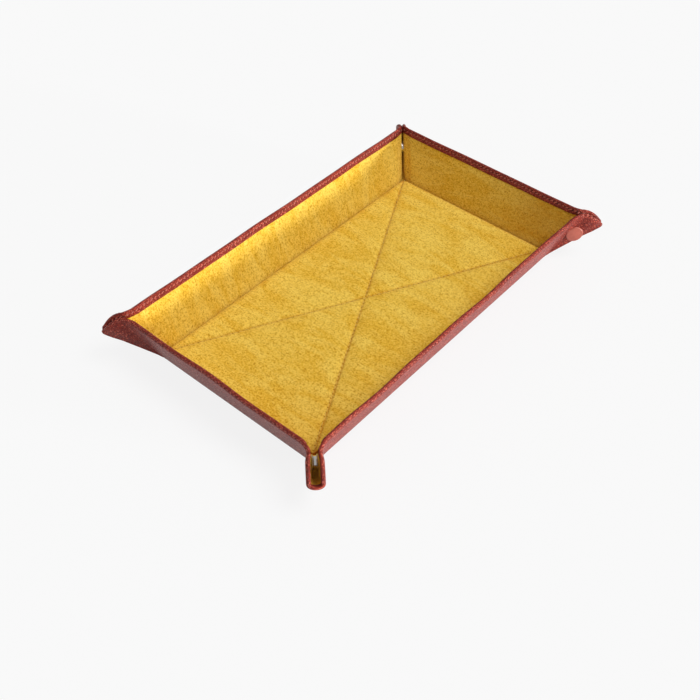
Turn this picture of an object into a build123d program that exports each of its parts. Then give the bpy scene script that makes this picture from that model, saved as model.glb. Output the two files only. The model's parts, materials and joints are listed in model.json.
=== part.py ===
# Valet tray: one leather sheet with stiffened walls, pinched at its four corners by
# press snaps. Each panel is drawn in the flat sheet, on a plane that holds it folded.

import os
from math import acos, atan, cos, degrees, radians, sin, sqrt, tan

from build123d import *

os.makedirs("parts", exist_ok=True)

# Floor between its folds, and the walls that rise from it
floor_length = 250.0
floor_width = 132.0
wall_slant_height = 40.0
lean_angle = 22.0  # degrees away from upright
sheet_corner_radius = 28.0

# Layers, from the outer face of the sheet inwards
leather_thickness = 1.2
wall_card_thickness = 1.2
floor_card_thickness = 1.6
padding_thickness = 1.0
suede_thickness = 0.8

# Hem: the leather's edge, thinned and turned over the suede
hem_thickness = 0.9
hem_width = 5.0
rim_round = 0.8
hem_edge_round = 0.3

# Gaps between panels at their folds, and round what fits in something
fold_gap = 0.25
open_crease_gap = 1.0  # the short ear halves stand off their walls by this much more
lining_gap = 0.1
cut_overrun = 1.0

# Ear halves, and the folded strip that closes them
ear_gap = 3.6
ear_edge = 1.2  # from the fold line of the ear to the edge of each half
floor_corner_relief = 6.5
card_margin = 3.0  # the card stops this far from the ear crease
strip_gap = 0.1

# Floor padding, four pillows between the crossed seams
pillow_margin = 1.6
pillow_shoulder = 2.2
pillow_shoulder_rise = 0.6
pillow_crown = 9.0
pillow_crown_rise = 0.5

# Press snap
snap_along_share = 0.567  # of the ear's fold line, out from the floor corner
snap_from_fold = 6.3
cap_diameter = 12.4
cap_thickness = 1.7
cap_round = 1.1
cap_tube_diameter = 3.6
cap_tube_wall = 0.4
cap_tube_reach = 0.3  # past the floor of the socket
tube_clearance = 0.1
socket_diameter = 10.0
socket_thickness = 2.5
socket_floor = 0.6
socket_round = 0.6
stud_flange_diameter = 9.6
stud_flange = 0.8
stud_head_diameter = 4.6
stud_head_height = 1.4
stud_head_round = 0.4
stud_clearance = 0.2
post_disc_diameter = 8.4
post_disc = 0.4
post_tube_diameter = 2.6
post_tube_wall = 0.4

# Angles that follow from the lean of the walls
fold_angle = 90 - lean_angle
crease_slope = degrees(atan(cos(radians(fold_angle))))
crease_fold = degrees(acos(cos(radians(lean_angle)) / sqrt(2)))

# Heights of the layers and of the fold axes above the outer face
hinge_height = leather_thickness / 2
wall_thickness = leather_thickness + wall_card_thickness + suede_thickness
ear_thickness = leather_thickness + suede_thickness
floor_card_top = leather_thickness + floor_card_thickness
padding_top = floor_card_top + padding_thickness
fold_line_length = (wall_slant_height - sheet_corner_radius) * sqrt(2) + sheet_corner_radius
snap_along_fold = snap_along_share * fold_line_length
crease_setback = ear_gap / sqrt(2) + (ear_thickness - hinge_height) * sin(radians(fold_angle))


def mitre(height, angle=fold_angle):
    """How far a fold's edge is cut back at a height above its axis."""
    return height * tan(radians(angle / 2))


# Walls: the compass heading that each faces, its length and its reach from the middle
wall_table = {
    "front": (-90, floor_length, floor_width / 2),
    "right": (0, floor_width, floor_length / 2),
    "back": (90, floor_length, floor_width / 2),
    "left": (180, floor_width, floor_length / 2),
}

# Corners: the wall and wall end of the long half of the ear, then of the short half
corner_table = {
    "front_left": (("front", 1), ("left", -1)),
    "front_right": (("front", -1), ("right", 1)),
    "back_right": (("back", 1), ("right", -1)),
    "back_left": (("back", -1), ("left", 1)),
}


def turned(vector, axis, angle):
    """A vector turned about a unit axis."""
    c, s = cos(radians(angle)), sin(radians(angle))
    return vector * c + axis.cross(vector) * s + axis * (axis.dot(vector) * (1 - c))


def wall_plane(wall):
    """The wall's own plane: x along its fold, y up its slope, z towards the inside."""
    heading, run, reach = wall_table[wall]
    outward = Vector(cos(radians(heading)), sin(radians(heading)), 0)
    along = outward.cross(Vector(0, 0, 1))
    normal = turned(Vector(0, 0, 1), along, fold_angle)
    hinge = outward * reach + Vector(0, 0, hinge_height)
    return Plane(hinge - normal * hinge_height, x_dir=along, z_dir=normal)


def crease_direction(panel, end):
    """The ear crease: up the slope and outwards past the floor's corner."""
    slope = radians(crease_slope)
    return panel.x_dir * (end * sin(slope)) + panel.y_dir * cos(slope)


def crease_point(panel, wall, end):
    """Where the ear crease meets the line of the wall's fold."""
    run = wall_table[wall][1]
    return panel.from_local_coords(Vector(end * (run / 2 - crease_setback), 0, ear_thickness))


def ear_plane(wall, end):
    """The wall's plane, turned outwards about the crease at one of its ends."""
    panel = wall_plane(wall)
    point = crease_point(panel, wall, end)
    axis = crease_direction(panel, end)
    angle = end * crease_fold
    return Plane(
        point + turned(panel.origin - point, axis, angle),
        x_dir=turned(panel.x_dir, axis, angle),
        z_dir=turned(panel.z_dir, axis, angle),
    )


def crease_cutter(panel, wall, end, gap, side):
    """What a panel loses at the ear crease: side 1 on the wall, -1 on the ear half."""
    axis = crease_direction(panel, end)
    across = axis.cross(panel.z_dir) * end
    plane = Plane(crease_point(panel, wall, end), x_dir=across, z_dir=axis * end)
    depth = ear_thickness + cut_overrun
    height = wall_thickness + hem_thickness + cut_overrun
    reach = crease_setback + wall_slant_height
    outline = [(-gap, -height), (-gap, 0), (-gap - mitre(depth, crease_fold), depth)]
    outline += [(reach, depth), (reach, -height)]
    with BuildPart(mode=Mode.PRIVATE) as cutter:
        with BuildSketch(plane):
            with BuildLine():
                Polyline([(side * x, y) for x, y in outline], close=True)
            make_face()
        extrude(amount=2 * wall_slant_height, both=True)
    return cutter.part


def wall_strip(name, outline, gap, rounds=()):
    """Runs a cross-section along a wall and cuts both its ends at the ear creases."""
    panel = wall_plane(name)
    run = wall_table[name][1]
    with BuildPart() as strip:
        with BuildSketch(Plane(panel.origin, x_dir=panel.y_dir, z_dir=panel.x_dir)) as section:
            with BuildLine():
                Polyline(outline, close=True)
            make_face()
            for corner, radius in rounds:
                fillet(section.vertices().sort_by_distance(corner)[0], radius)
        extrude(amount=run / 2 + wall_slant_height, both=True)
        for end in (1, -1):
            add(crease_cutter(panel, name, end, gap, 1), mode=Mode.SUBTRACT)
    return strip.part


def ear_face(panel, wall, end, rim_inset=0):
    """The face of an ear half in its panel's plane, its rim drawn in by rim_inset."""
    run = wall_table[wall][1]
    rim = wall_slant_height - rim_inset
    radius = sheet_corner_radius - rim_inset
    centre = wall_slant_height - sheet_corner_radius
    tip = centre * sqrt(2) + sqrt(radius**2 - ear_edge**2)
    tip_angle = 45 + degrees(atan(ear_edge / (tip - centre * sqrt(2))))
    middle = radians((90 + tip_angle) / 2)

    def at(outward, up):
        return (end * (run / 2 + outward), up)

    wall_foot = at(-crease_setback, 0)  # the crease's cutter trims this side
    wall_top = at(-crease_setback, rim)
    arc_start = at(centre, rim)
    arc_middle = at(centre + radius * cos(middle), centre + radius * sin(middle))
    edge_top = at((tip - ear_edge) / sqrt(2), (tip + ear_edge) / sqrt(2))
    edge_foot = at(-ear_edge * sqrt(2), 0)
    with BuildSketch(panel) as face:
        with BuildLine():
            Polyline(edge_foot, wall_foot, wall_top, arc_start)
            ThreePointArc(arc_start, arc_middle, edge_top)
            Line(edge_top, edge_foot)
        make_face()
        with Locations(at(0, 0)):
            Circle(floor_corner_relief, mode=Mode.SUBTRACT)
    return face.sketch


def ear_rim(panel, wall, end, width):
    """A band of an ear half along its rim."""
    return ear_face(panel, wall, end) - ear_face(panel, wall, end, width)


def snap_place(wall, end):
    """The snap's centre in the plane of an ear half."""
    run = wall_table[wall][1]
    outward = (snap_along_fold - snap_from_fold) / sqrt(2)
    up = (snap_along_fold + snap_from_fold) / sqrt(2)
    return (end * (run / 2 + outward), up)


def snap_ring(panel, place, outline, rounds=()):
    """Turns a half-section about the snap's axis: x outwards, y towards the other half."""
    centre = panel.from_local_coords(Vector(*place, 0))
    with BuildPart() as ring:
        with BuildSketch(Plane(centre, x_dir=panel.x_dir, z_dir=-panel.y_dir)) as section:
            with BuildLine():
                Polyline(outline, close=True)
            make_face()
            for corner, radius in rounds:
                fillet(section.vertices().sort_by_distance(corner)[0], radius)
        revolve(axis=Axis(centre, panel.z_dir))
    return ring.part


def keep(part, name):
    """Labels a finished piece and writes it out."""
    part.label = name
    export_step(part, f"parts/{name}.step")


# Floor: leather, card, padding and suede, narrower towards the inside of the folds
with BuildPart() as base_cover:
    with BuildSketch(Plane.XY):
        Rectangle(floor_length - 2 * fold_gap, floor_width - 2 * fold_gap)
    extrude(amount=hinge_height)
    with BuildSketch(Plane.XY.offset(hinge_height)):
        Rectangle(floor_length - 2 * fold_gap, floor_width - 2 * fold_gap)
    extrude(amount=leather_thickness - hinge_height, taper=fold_angle / 2)
keep(base_cover.part, "base_cover")

card_inset = fold_gap + mitre(leather_thickness - hinge_height)
with BuildPart() as base_board:
    with BuildSketch(Plane.XY.offset(leather_thickness)):
        Rectangle(floor_length - 2 * card_inset, floor_width - 2 * card_inset)
    extrude(amount=floor_card_thickness, taper=fold_angle / 2)
keep(base_board.part, "base_board")

pad_inset = fold_gap + lining_gap + mitre(wall_thickness - hinge_height)
pad_length = floor_length - 2 * pad_inset
pad_width = floor_width - 2 * pad_inset


def pillow(plane, length, width, inset):
    """A triangle of the floor between the crossed seams, drawn in by inset."""
    seam = sqrt(length**2 + width**2)
    peak = inset * seam / length
    half_side = length - inset * (length + seam) / width
    with BuildSketch(plane) as triangle:
        with BuildLine():
            Polyline((0, peak), (half_side, width - inset), (-half_side, width - inset), close=True)
        make_face()
    return triangle.sketch


def padded_floor(sheet_top):
    """A floor-wide sheet with four crowned pillows on it."""
    stages = [
        (0, pillow_margin),
        (pillow_shoulder_rise, pillow_margin + pillow_shoulder),
        (pillow_shoulder_rise + pillow_crown_rise, pillow_margin + pillow_crown),
    ]
    with BuildPart() as floor:
        with BuildSketch(Plane.XY.offset(floor_card_top)):
            Rectangle(pad_length, pad_width)
        extrude(amount=sheet_top - floor_card_top)
        for quarter in range(4):
            half_sizes = (pad_length / 2, pad_width / 2)
            length, width = half_sizes[quarter % 2], half_sizes[1 - quarter % 2]
            triangles = []
            for rise, inset in stages:
                plane = Plane.XY.offset(sheet_top + rise).rotated((0, 0, 90 * quarter))
                triangles.append(pillow(plane, length, width, inset))
            for lower, upper in zip(triangles, triangles[1:]):
                loft([lower, upper], ruled=True)
    return floor.part


padding_part = padded_floor(padding_top)
keep(padding_part, "base_padding")
with BuildPart() as base_lining:
    add(padded_floor(padding_top + suede_thickness))
    add(padding_part, mode=Mode.SUBTRACT)
keep(base_lining.part, "base_lining")

# Walls: the leather turns over the rim, and the card and suede end under the hem
cover_foot = fold_gap + mitre(leather_thickness - hinge_height)
card_foot = fold_gap + mitre(leather_thickness + wall_card_thickness - hinge_height)
lining_foot = fold_gap + mitre(wall_thickness - hinge_height)
hem_top = wall_thickness + hem_thickness
lining_edge = wall_slant_height - hem_thickness - lining_gap
hem_start = wall_slant_height - hem_width
card_top = leather_thickness + wall_card_thickness

cover_outline = [
    (fold_gap, 0),
    (wall_slant_height, 0),
    (wall_slant_height, hem_top),
    (hem_start, hem_top),
    (hem_start, wall_thickness),
    (wall_slant_height - hem_thickness, wall_thickness),
    (wall_slant_height - hem_thickness, leather_thickness),
    (cover_foot, leather_thickness),
    (fold_gap, hinge_height),
]
cover_rounds = [
    ((wall_slant_height, 0), rim_round),
    ((wall_slant_height, hem_top), rim_round),
    ((hem_start, hem_top), hem_edge_round),
]
card_outline = [
    (cover_foot, leather_thickness),
    (lining_edge, leather_thickness),
    (lining_edge, card_top),
    (card_foot, card_top),
]
lining_outline = [
    (card_foot, card_top),
    (lining_edge, card_top),
    (lining_edge, wall_thickness),
    (lining_foot, wall_thickness),
]
for name in wall_table:
    keep(wall_strip(name, cover_outline, fold_gap, cover_rounds), f"wall_{name}_cover")
    keep(wall_strip(name, card_outline, card_margin), f"wall_{name}_board")
    keep(wall_strip(name, lining_outline, fold_gap), f"wall_{name}_lining")

# Ear halves: the cap's tube passes through the long ones, the post's through the short
pocket_radius = post_disc_diameter / 2 + lining_gap
for corner, halves in corner_table.items():
    for half, (wall, end) in zip(("long", "short"), halves):
        panel = ear_plane(wall, end)
        place = snap_place(wall, end)
        gap = fold_gap
        hole_radius = cap_tube_diameter / 2 + tube_clearance
        if half == "short":
            gap = fold_gap + open_crease_gap
            hole_radius = post_tube_diameter / 2 + tube_clearance
        cutter = crease_cutter(panel, wall, end, gap, -1)
        rim_fold = ear_rim(panel.offset(leather_thickness), wall, end, hem_thickness)
        hem = ear_rim(panel.offset(ear_thickness), wall, end, hem_width)
        with BuildPart() as cover:
            extrude(ear_face(panel, wall, end), amount=leather_thickness)
            extrude(rim_fold, amount=suede_thickness)
            extrude(hem, amount=hem_thickness)
            add(cutter, mode=Mode.SUBTRACT)
            if half == "long":
                with BuildSketch(panel):
                    with Locations(place):
                        Circle(hole_radius)
                extrude(amount=leather_thickness, mode=Mode.SUBTRACT)
            else:
                with BuildSketch(panel.offset(leather_thickness)):
                    with Locations(place):
                        Circle(pocket_radius)
                extrude(amount=-post_disc, mode=Mode.SUBTRACT)
        keep(cover.part, f"{corner}_{half}_ear_cover")
        suede_plane = panel.offset(leather_thickness)
        with BuildPart() as lining:
            extrude(ear_face(suede_plane, wall, end, hem_thickness + lining_gap), amount=suede_thickness)
            add(cutter, mode=Mode.SUBTRACT)
            with BuildSketch(suede_plane):
                with Locations(place):
                    Circle(hole_radius)
            extrude(amount=suede_thickness, mode=Mode.SUBTRACT)
        keep(lining.part, f"{corner}_{half}_ear_lining")

# Folded strip at the outer edge of each ear, round its fold line
strip_outer = ear_gap / 2 + ear_thickness
strip_inner = ear_gap / 2
for corner, ((wall, end), _) in corner_table.items():
    panel = ear_plane(wall, end)
    run = wall_table[wall][1]
    along = (panel.x_dir * end + panel.y_dir) / sqrt(2)
    inward = (panel.y_dir - panel.x_dir * end) / sqrt(2)
    axis_foot = panel.from_local_coords(Vector(end * run / 2, 0, ear_thickness + ear_gap / 2))
    centre = axis_foot + inward * (ear_edge - strip_gap)
    with BuildPart() as strip:
        for start, stop, bore in (
            (floor_corner_relief, fold_line_length, strip_inner),
            (fold_line_length - hem_width, fold_line_length, strip_inner - hem_thickness),
        ):
            with BuildSketch(Plane(centre + along * start, x_dir=inward, z_dir=along)):
                Circle(strip_outer)
                Circle(bore, mode=Mode.SUBTRACT)
                with Locations((strip_outer / 2, 0)):
                    Rectangle(strip_outer, 2 * strip_outer, mode=Mode.SUBTRACT)
            extrude(amount=stop - start)
    keep(strip.part, f"{corner}_fold_strip")

# Press snaps: cap and socket on the long half, stud and post on the short half
cap_radius = cap_diameter / 2
cap_tube = cap_tube_diameter / 2
tube_top = ear_thickness + socket_floor + cap_tube_reach
cap_outline = [
    (0, -cap_thickness),
    (cap_radius, -cap_thickness),
    (cap_radius, 0),
    (cap_tube, 0),
    (cap_tube, tube_top),
    (cap_tube - cap_tube_wall, tube_top),
    (cap_tube - cap_tube_wall, -cap_thickness / 2),
    (0, -cap_thickness / 2),
]
socket_top = ear_thickness + socket_thickness
socket_radius = socket_diameter / 2
socket_hole = cap_tube + tube_clearance
socket_bore = stud_head_diameter / 2 + stud_clearance
socket_outline = [
    (socket_hole, ear_thickness),
    (socket_radius, ear_thickness),
    (socket_radius, socket_top),
    (socket_bore, socket_top),
    (socket_bore, ear_thickness + socket_floor),
    (socket_hole, ear_thickness + socket_floor),
]
flange_top = ear_thickness + stud_flange
head_top = flange_top + stud_head_height
flange_radius = stud_flange_diameter / 2
head_radius = stud_head_diameter / 2
post_tube = post_tube_diameter / 2
stud_bore = post_tube + tube_clearance
stud_outline = [
    (stud_bore, ear_thickness),
    (flange_radius, ear_thickness),
    (flange_radius, flange_top),
    (head_radius, flange_top),
    (head_radius, head_top),
    (stud_bore, head_top),
]
post_outline = [
    (0, leather_thickness - post_disc),
    (post_disc_diameter / 2, leather_thickness - post_disc),
    (post_disc_diameter / 2, leather_thickness),
    (post_tube, leather_thickness),
    (post_tube, head_top),
    (post_tube - post_tube_wall, head_top),
    (post_tube - post_tube_wall, leather_thickness),
    (0, leather_thickness),
]
for corner, ((long_wall, long_end), (short_wall, short_end)) in corner_table.items():
    panel = ear_plane(long_wall, long_end)
    place = snap_place(long_wall, long_end)
    cap = snap_ring(panel, place, cap_outline, [((cap_radius, -cap_thickness), cap_round)])
    keep(cap, f"{corner}_snap_cap")
    socket = snap_ring(panel, place, socket_outline, [((socket_radius, socket_top), socket_round)])
    keep(socket, f"{corner}_snap_socket")
    panel = ear_plane(short_wall, short_end)
    place = snap_place(short_wall, short_end)
    stud = snap_ring(panel, place, stud_outline, [((head_radius, head_top), stud_head_round)])
    keep(stud, f"{corner}_snap_stud")
    keep(snap_ring(panel, place, post_outline), f"{corner}_snap_post")
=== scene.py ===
import json
import math

import bmesh
import bpy
import numpy as np
from mathutils import Matrix, Vector


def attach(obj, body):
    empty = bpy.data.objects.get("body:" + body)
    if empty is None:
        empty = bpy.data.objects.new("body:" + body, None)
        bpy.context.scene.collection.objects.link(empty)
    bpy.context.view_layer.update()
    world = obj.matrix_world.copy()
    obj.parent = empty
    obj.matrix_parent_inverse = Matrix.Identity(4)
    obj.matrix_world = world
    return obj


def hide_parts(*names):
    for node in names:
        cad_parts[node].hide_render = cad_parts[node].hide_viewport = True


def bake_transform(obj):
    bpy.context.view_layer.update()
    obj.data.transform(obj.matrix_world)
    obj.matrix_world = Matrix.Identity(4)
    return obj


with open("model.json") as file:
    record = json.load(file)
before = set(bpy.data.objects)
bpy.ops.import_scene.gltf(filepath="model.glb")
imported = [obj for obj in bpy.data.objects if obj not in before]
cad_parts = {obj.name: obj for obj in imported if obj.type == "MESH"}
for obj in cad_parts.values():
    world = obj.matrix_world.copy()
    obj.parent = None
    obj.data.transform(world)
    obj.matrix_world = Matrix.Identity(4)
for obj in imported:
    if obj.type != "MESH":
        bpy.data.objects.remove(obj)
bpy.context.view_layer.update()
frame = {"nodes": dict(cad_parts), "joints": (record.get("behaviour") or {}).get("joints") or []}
mm = 0.001
root2 = math.sqrt(2)
joints = {joint["name"]: joint for joint in frame["joints"]}
corners = {  # wall and wall end of the long half of each ear, then of the short half
    "front_left": (("front", 1), ("left", -1)),
    "front_right": (("front", -1), ("right", 1)),
    "back_right": (("back", 1), ("right", -1)),
    "back_left": (("back", -1), ("left", 1)),
}
walls = ("front", "right", "back", "left")
ears = ((True, "_long_ear"), (False, "_short_ear"))


# Small help

def sized(**lengths):
    # lengths given in millimetres
    return {name: length * mm for name, length in lengths.items()}


def unit(vector):
    vector = np.asarray(vector, float)
    return vector / np.linalg.norm(vector)


def smooth(value):
    value = np.clip(value, 0, 1)
    return value * value * (3 - 2 * value)


# The sheet's own sizes

# the walls thin towards the rim and before the creases, past their card; wallSuede and earSuede are
# the suede's height above the outer face, hemProud that of the hem on the sheet's faces
sheet = sized(
    rise=40, cornerRadius=28, leather=1.2, wallSuede=3.2, earSuede=2.0, hemProud=0.5, hemWidth=5,
    footRound=1.5, rimTaper=0.8, taperOver=8, cardEnd=6, cardFade=4.5, creaseRoundFoot=3, earGap=3.6)
# how each corner sits: halves apart at the rim, drawn in at the mouth, closed at the foot and
# pinched at the fold; centre and nose of the fold's bend and how far its blend reaches, in leather
# and in suede; how far the tip is drawn back; how widely the rim bends into the long and short half
pinched = sized(closing=1.55, pinch=1.25, leatherReach=1.2, suedeReach=0.5)
dress = {
    "front_left": {"nose": 0.97, **sized(
        apart=1.6, drawnIn=0.1, closing=1.55, pinch=0, centre=0.8, back=0.2, leatherReach=4.3,
        suedeReach=2.9, longBend=17, shortBend=17)},
    "front_right": {"nose": 0.45, **pinched, **sized(
        apart=0.9, drawnIn=0.4, centre=1.5, back=0.6, longBend=16, shortBend=8)},
    "back_right": {"nose": 0.7, **pinched, **sized(
        apart=0.1, drawnIn=1.0, closing=0.5, centre=1.4, back=1.2, longBend=6, shortBend=6)},
    "back_left": {"nose": 0.45, **pinched, **sized(
        apart=0.9, drawnIn=0.4, centre=1.5, back=2.3, longBend=9, shortBend=15)},
}
# where along and across an ear those act
spans = sized(mouth=27, mouthOver=10, apartOver=9, foot=13, bend=3, drawnOver=7, pinchOver=4)
curled = {"power": 1.5, **sized(size=1.2, over=5, ring=3.8)}  # the fold's tip
# the rim isn't quite straight
rimWave = {"slow": 61, "quick": 117, "quickShare": 0.6, **sized(rise=0.35, fromCrease=4, over=25)}
foldAngle = math.radians(joints["wall_front_fold"]["range_deg"][1])
hingeHeight = joints["wall_front_fold"]["pos_m"][2]
halfLength = abs(joints["wall_right_fold"]["pos_m"][0])
halfWidth = abs(joints["wall_front_fold"]["pos_m"][1])
footStart = (sheet["footRound"] - hingeHeight) * math.tan(foldAngle / 2)


def wallFrame(wall):
    joint = joints["wall_" + wall + "_fold"]
    pivot = np.array(joint["pos_m"])
    along = -np.array(joint["axis"])
    outward = unit(pivot * (1, 1, 0))
    up = outward * math.cos(foldAngle) + np.array((0, 0, math.sin(foldAngle)))
    inside = np.cross(along, up)
    half = halfLength if wall in ("front", "back") else halfWidth
    return dict(pivot=pivot, along=along, outward=outward, up=up, inside=inside, half=half)


def earHalf(corner, isLong):
    wall, end = corners[corner][0 if isLong else 1]
    crease = joints[corner + "_ear_crease"]
    opening = joints[corner + "_ear_opening"]
    onLong = wallFrame(corners[corner][0][0])
    own = wallFrame(wall)
    fromPivot = np.array(crease["pos_m"]) - onLong["pivot"]
    lean = math.asin(abs(np.array(crease["axis"]) @ onLong["along"]))
    setback = onLong["half"] - abs(fromPivot @ onLong["along"])
    height = fromPivot @ onLong["inside"] + hingeHeight
    turn = math.radians(crease["range_deg"][1])
    creaseLine = own["along"] * end * math.sin(lean) + own["up"] * math.cos(lean)
    across = own["along"] * end * math.cos(lean) - own["up"] * math.sin(lean)
    earAcross = across * math.cos(turn) - own["inside"] * math.sin(turn)
    earInside = own["inside"] * math.cos(turn) + across * math.sin(turn)
    foldLine = np.array(opening["axis"])
    foldLine = foldLine * np.sign(foldLine[2])
    creaseFoot = own["pivot"] + own["along"] * end * (own["half"] - setback)
    creaseFoot = creaseFoot + own["inside"] * (height - hingeHeight)
    manner = dress[corner]
    return dict(
        wall=wall, end=end, own=own, lean=lean, setback=setback, height=height, turn=turn, dress=manner,
        centre=manner["centre"], rimBend=manner["longBend" if isLong else "shortBend"], line=creaseLine,
        across=across, earAcross=earAcross, out=-earInside, creaseFoot=creaseFoot,
        foot=np.array(opening["pos_m"]), fold=foldLine,
        inward=unit(np.array((0, 0, 1)) - foldLine * foldLine[2]))


def halvesOf(wall):
    # the two ends of a wall, and whether each one's ear half is the long one
    return [(earHalf(corner, isLong), isLong) for corner, pair in corners.items()
            for isLong, (name, _) in zip((True, False), pair) if name == wall]


# From the flat sheet to the folded one: u beyond the floor's corner, v up the slope,
# h above the outer face

def creaseOffset(half, u, v):
    return (u + half["setback"]) * math.cos(half["lean"]) - v * math.sin(half["lean"])


def parting(half, u, v):
    # how far the outer face stands off its flat place: apart at the rim, less what draws it in at
    # the mouth, closes it at the foot and pinches it at the fold
    manner, across = half["dress"], creaseOffset(half, u, v)
    along, fromFold = (u + v) / root2, (v - u) / root2 - half["centre"]
    apart = manner["apart"] * smooth((along - spans["mouth"]) / spans["mouthOver"])
    apart = apart * smooth(across / spans["apartOver"])
    atFoot = np.exp(-np.square(along / spans["foot"]))
    atMouth = np.exp(-np.square(np.maximum(across - spans["bend"], 0) / spans["drawnOver"]))
    atFold = np.exp(-np.square(np.maximum(fromFold, 0) / spans["pinchOver"]))
    drawnIn = manner["drawnIn"] * (1 - atFoot) * atMouth
    drawnIn = drawnIn + manner["closing"] * atFoot + manner["pinch"] * (1 - atFoot) * atFold
    return apart - drawnIn * smooth(across / spans["bend"])


def folded(half, u, v, h, bends=True):
    u, v, h = np.broadcast_arrays(*(np.asarray(a, float) for a in (u, v, h)))
    own, turn = half["own"], half["turn"]
    across = creaseOffset(half, u, v)
    along = (u + half["setback"]) * math.sin(half["lean"]) + v * math.cos(half["lean"])
    share = np.clip(along / sheet["rise"], 0, 1)
    radius = sheet["creaseRoundFoot"] + (half["rimBend"] - sheet["creaseRoundFoot"]) * share
    reach = radius * math.tan(turn / 2)
    if bends:
        angle = turn * np.clip((across + reach) / (2 * reach), 0, 1)
        onWall, onEar = np.minimum(across + reach, 0), np.maximum(across - reach, 0)
    else:
        reach, angle, onEar = across * 0 + 1 * mm, across * 0, across * 0
        radius = reach / math.tan(turn / 2)
        onWall = across + reach
    arc = radius + h - half["height"]
    place = (
        half["creaseFoot"]
        + along[..., None] * half["line"]
        + (onWall - reach + arc * np.sin(angle))[..., None] * half["across"]
        + (arc * np.cos(angle) - radius)[..., None] * own["inside"]
        + onEar[..., None] * half["earAcross"]
    )
    x = half["end"] * (u + own["half"])
    wave = np.sin(x * rimWave["slow"] + own["pivot"][0] * 40)
    wave = wave + rimWave["quickShare"] * np.sin(x * rimWave["quick"] + own["pivot"][1] * 90 + 1)
    wave = wave * rimWave["rise"] * smooth(v / sheet["rise"]) ** 2
    wave = wave * smooth(-(across + rimWave["fromCrease"]) / rimWave["over"])
    return place + parting(half, u, v)[..., None] * half["out"] + wave[..., None] * own["inside"]


def sheetPlace(half, u, v, share=0.0):
    # the same point on the flat sheet, with the painted shade of folds, creases and the sheet as its third
    # number
    own = half["own"]
    along = half["end"] * (u + own["half"])
    flat = own["pivot"] + along[..., None] * own["along"] + v[..., None] * own["outward"]
    flat[..., 2] = share
    return flat


def roundFold(half, t, angle, ring):
    # the strip round the outer edge of an ear: angle 90 degrees is the long half's side
    centre = half["foot"] + half["inward"] * half["centre"]
    wider = parting(half, (t - half["centre"]) / root2, (t + half["centre"]) / root2)
    nearTip = np.exp(-np.clip(tipAt(half, 0) - t, 0, 1) / curled["over"])
    curl = curled["size"] * np.cos(angle) ** curled["power"] * nearTip * ring / curled["ring"]
    nose = (ring + 0.8 * np.minimum(wider, 0)) * half["dress"]["nose"]
    place = centre + (t - curl)[..., None] * half["fold"]
    place = place + ((ring + wider) * np.sin(angle))[..., None] * half["out"]
    place = place - (nose * np.cos(angle))[..., None] * half["inward"]
    place[..., 2] = np.maximum(place[..., 2], 0.03 * mm)
    return place


def tipAt(half, fromFold):
    centre = (sheet["rise"] - sheet["cornerRadius"]) * root2
    return centre + np.sqrt(sheet["cornerRadius"] ** 2 - np.square(fromFold)) - half["dress"]["back"]


# Rays from the foot of the sheet to its rim, and what lies along them

def earRays(half, count=26):
    # base points, rim points and the rim's outward directions, from the crease to the fold
    lean, setback, rise = math.tan(half["lean"]), half["setback"], sheet["rise"]
    bend = sheet["cornerRadius"]
    centre = rise - bend
    topAtCrease = rise * lean - setback
    flatPart = max(centre - topAtCrease, 0)
    lastAngle = math.pi / 4 + math.asin(half["centre"] / bend)
    way = np.linspace(0, flatPart + (math.pi / 2 - lastAngle) * bend, count)
    turned = math.pi / 2 - np.maximum(way - flatPart, 0) / bend
    outward = np.stack([np.cos(turned), np.sin(turned)], 1)
    rim = centre + bend * outward
    rim[:, 0] = np.minimum(topAtCrease + way, centre) + bend * outward[:, 0]
    rim -= (half["dress"]["back"] / root2 * smooth(way / way[-1]) ** 1.5)[:, None]
    first = footStart * lean - setback
    last = footStart - half["centre"] * root2
    base = np.stack([np.linspace(first, last, count), np.full(count, footStart)], 1)
    return base, rim, outward


def wallRays(half, count=44):
    # from the crease to the middle of the wall, close together near the crease
    lean, setback, rise = math.tan(half["lean"]), half["setback"], sheet["rise"]
    share = np.linspace(0, 1, count) ** 1.9
    middle = -half["own"]["half"]
    first = footStart * lean - setback
    topAtCrease = rise * lean - setback
    base = np.stack([first + (middle - first) * share, np.full(count, footStart)], 1)
    rim = np.stack([topAtCrease + (middle - topAtCrease) * share, np.full(count, rise)], 1)
    outward = np.stack([np.zeros(count), np.ones(count)], 1)
    return base, rim, outward


def depthAt(depth, share, whole):
    # a depth below the rim, or where share is set, a share of what the hem leaves
    return np.where(share >= 0, depth + (whole - depth) * np.maximum(share, 0), depth)


def beyondRim(share, faceShare, height, depths):
    # the sheet goes round the rim and back, so its grain goes on outwards
    onFace = (faceShare > 0.6) & (share < 0)
    return np.where(share < 0, height, 0) + np.where(onFace, 2 * depths, 0)


def alongRays(rays, depth, share):
    base, rim, outward = rays
    way = rim - base
    direction = way / np.linalg.norm(way, axis=1)[:, None]
    square = np.sum(direction * outward, axis=1)
    whole = np.linalg.norm(way, axis=1) * square
    depths = depthAt(depth, share, whole[:, None])
    return rim[:, None] - direction[:, None] * (depths / square[:, None])[..., None], depths


stitchLine = {"shoulder": 50, **sized(depth=2.3, beside=0.3, dent=0.18, puff=0.1)}
rimRound = {"outerShare": 0.62, "innerShare": 0.3, **sized(outerDepth=2.0, innerDepth=0.9)}
hemBack = sized(turn=1.5, end=4.5, under=-0.75)  # the hem's underside


def columns(rows):
    return (np.array(column, float) for column in zip(*rows))


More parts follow.
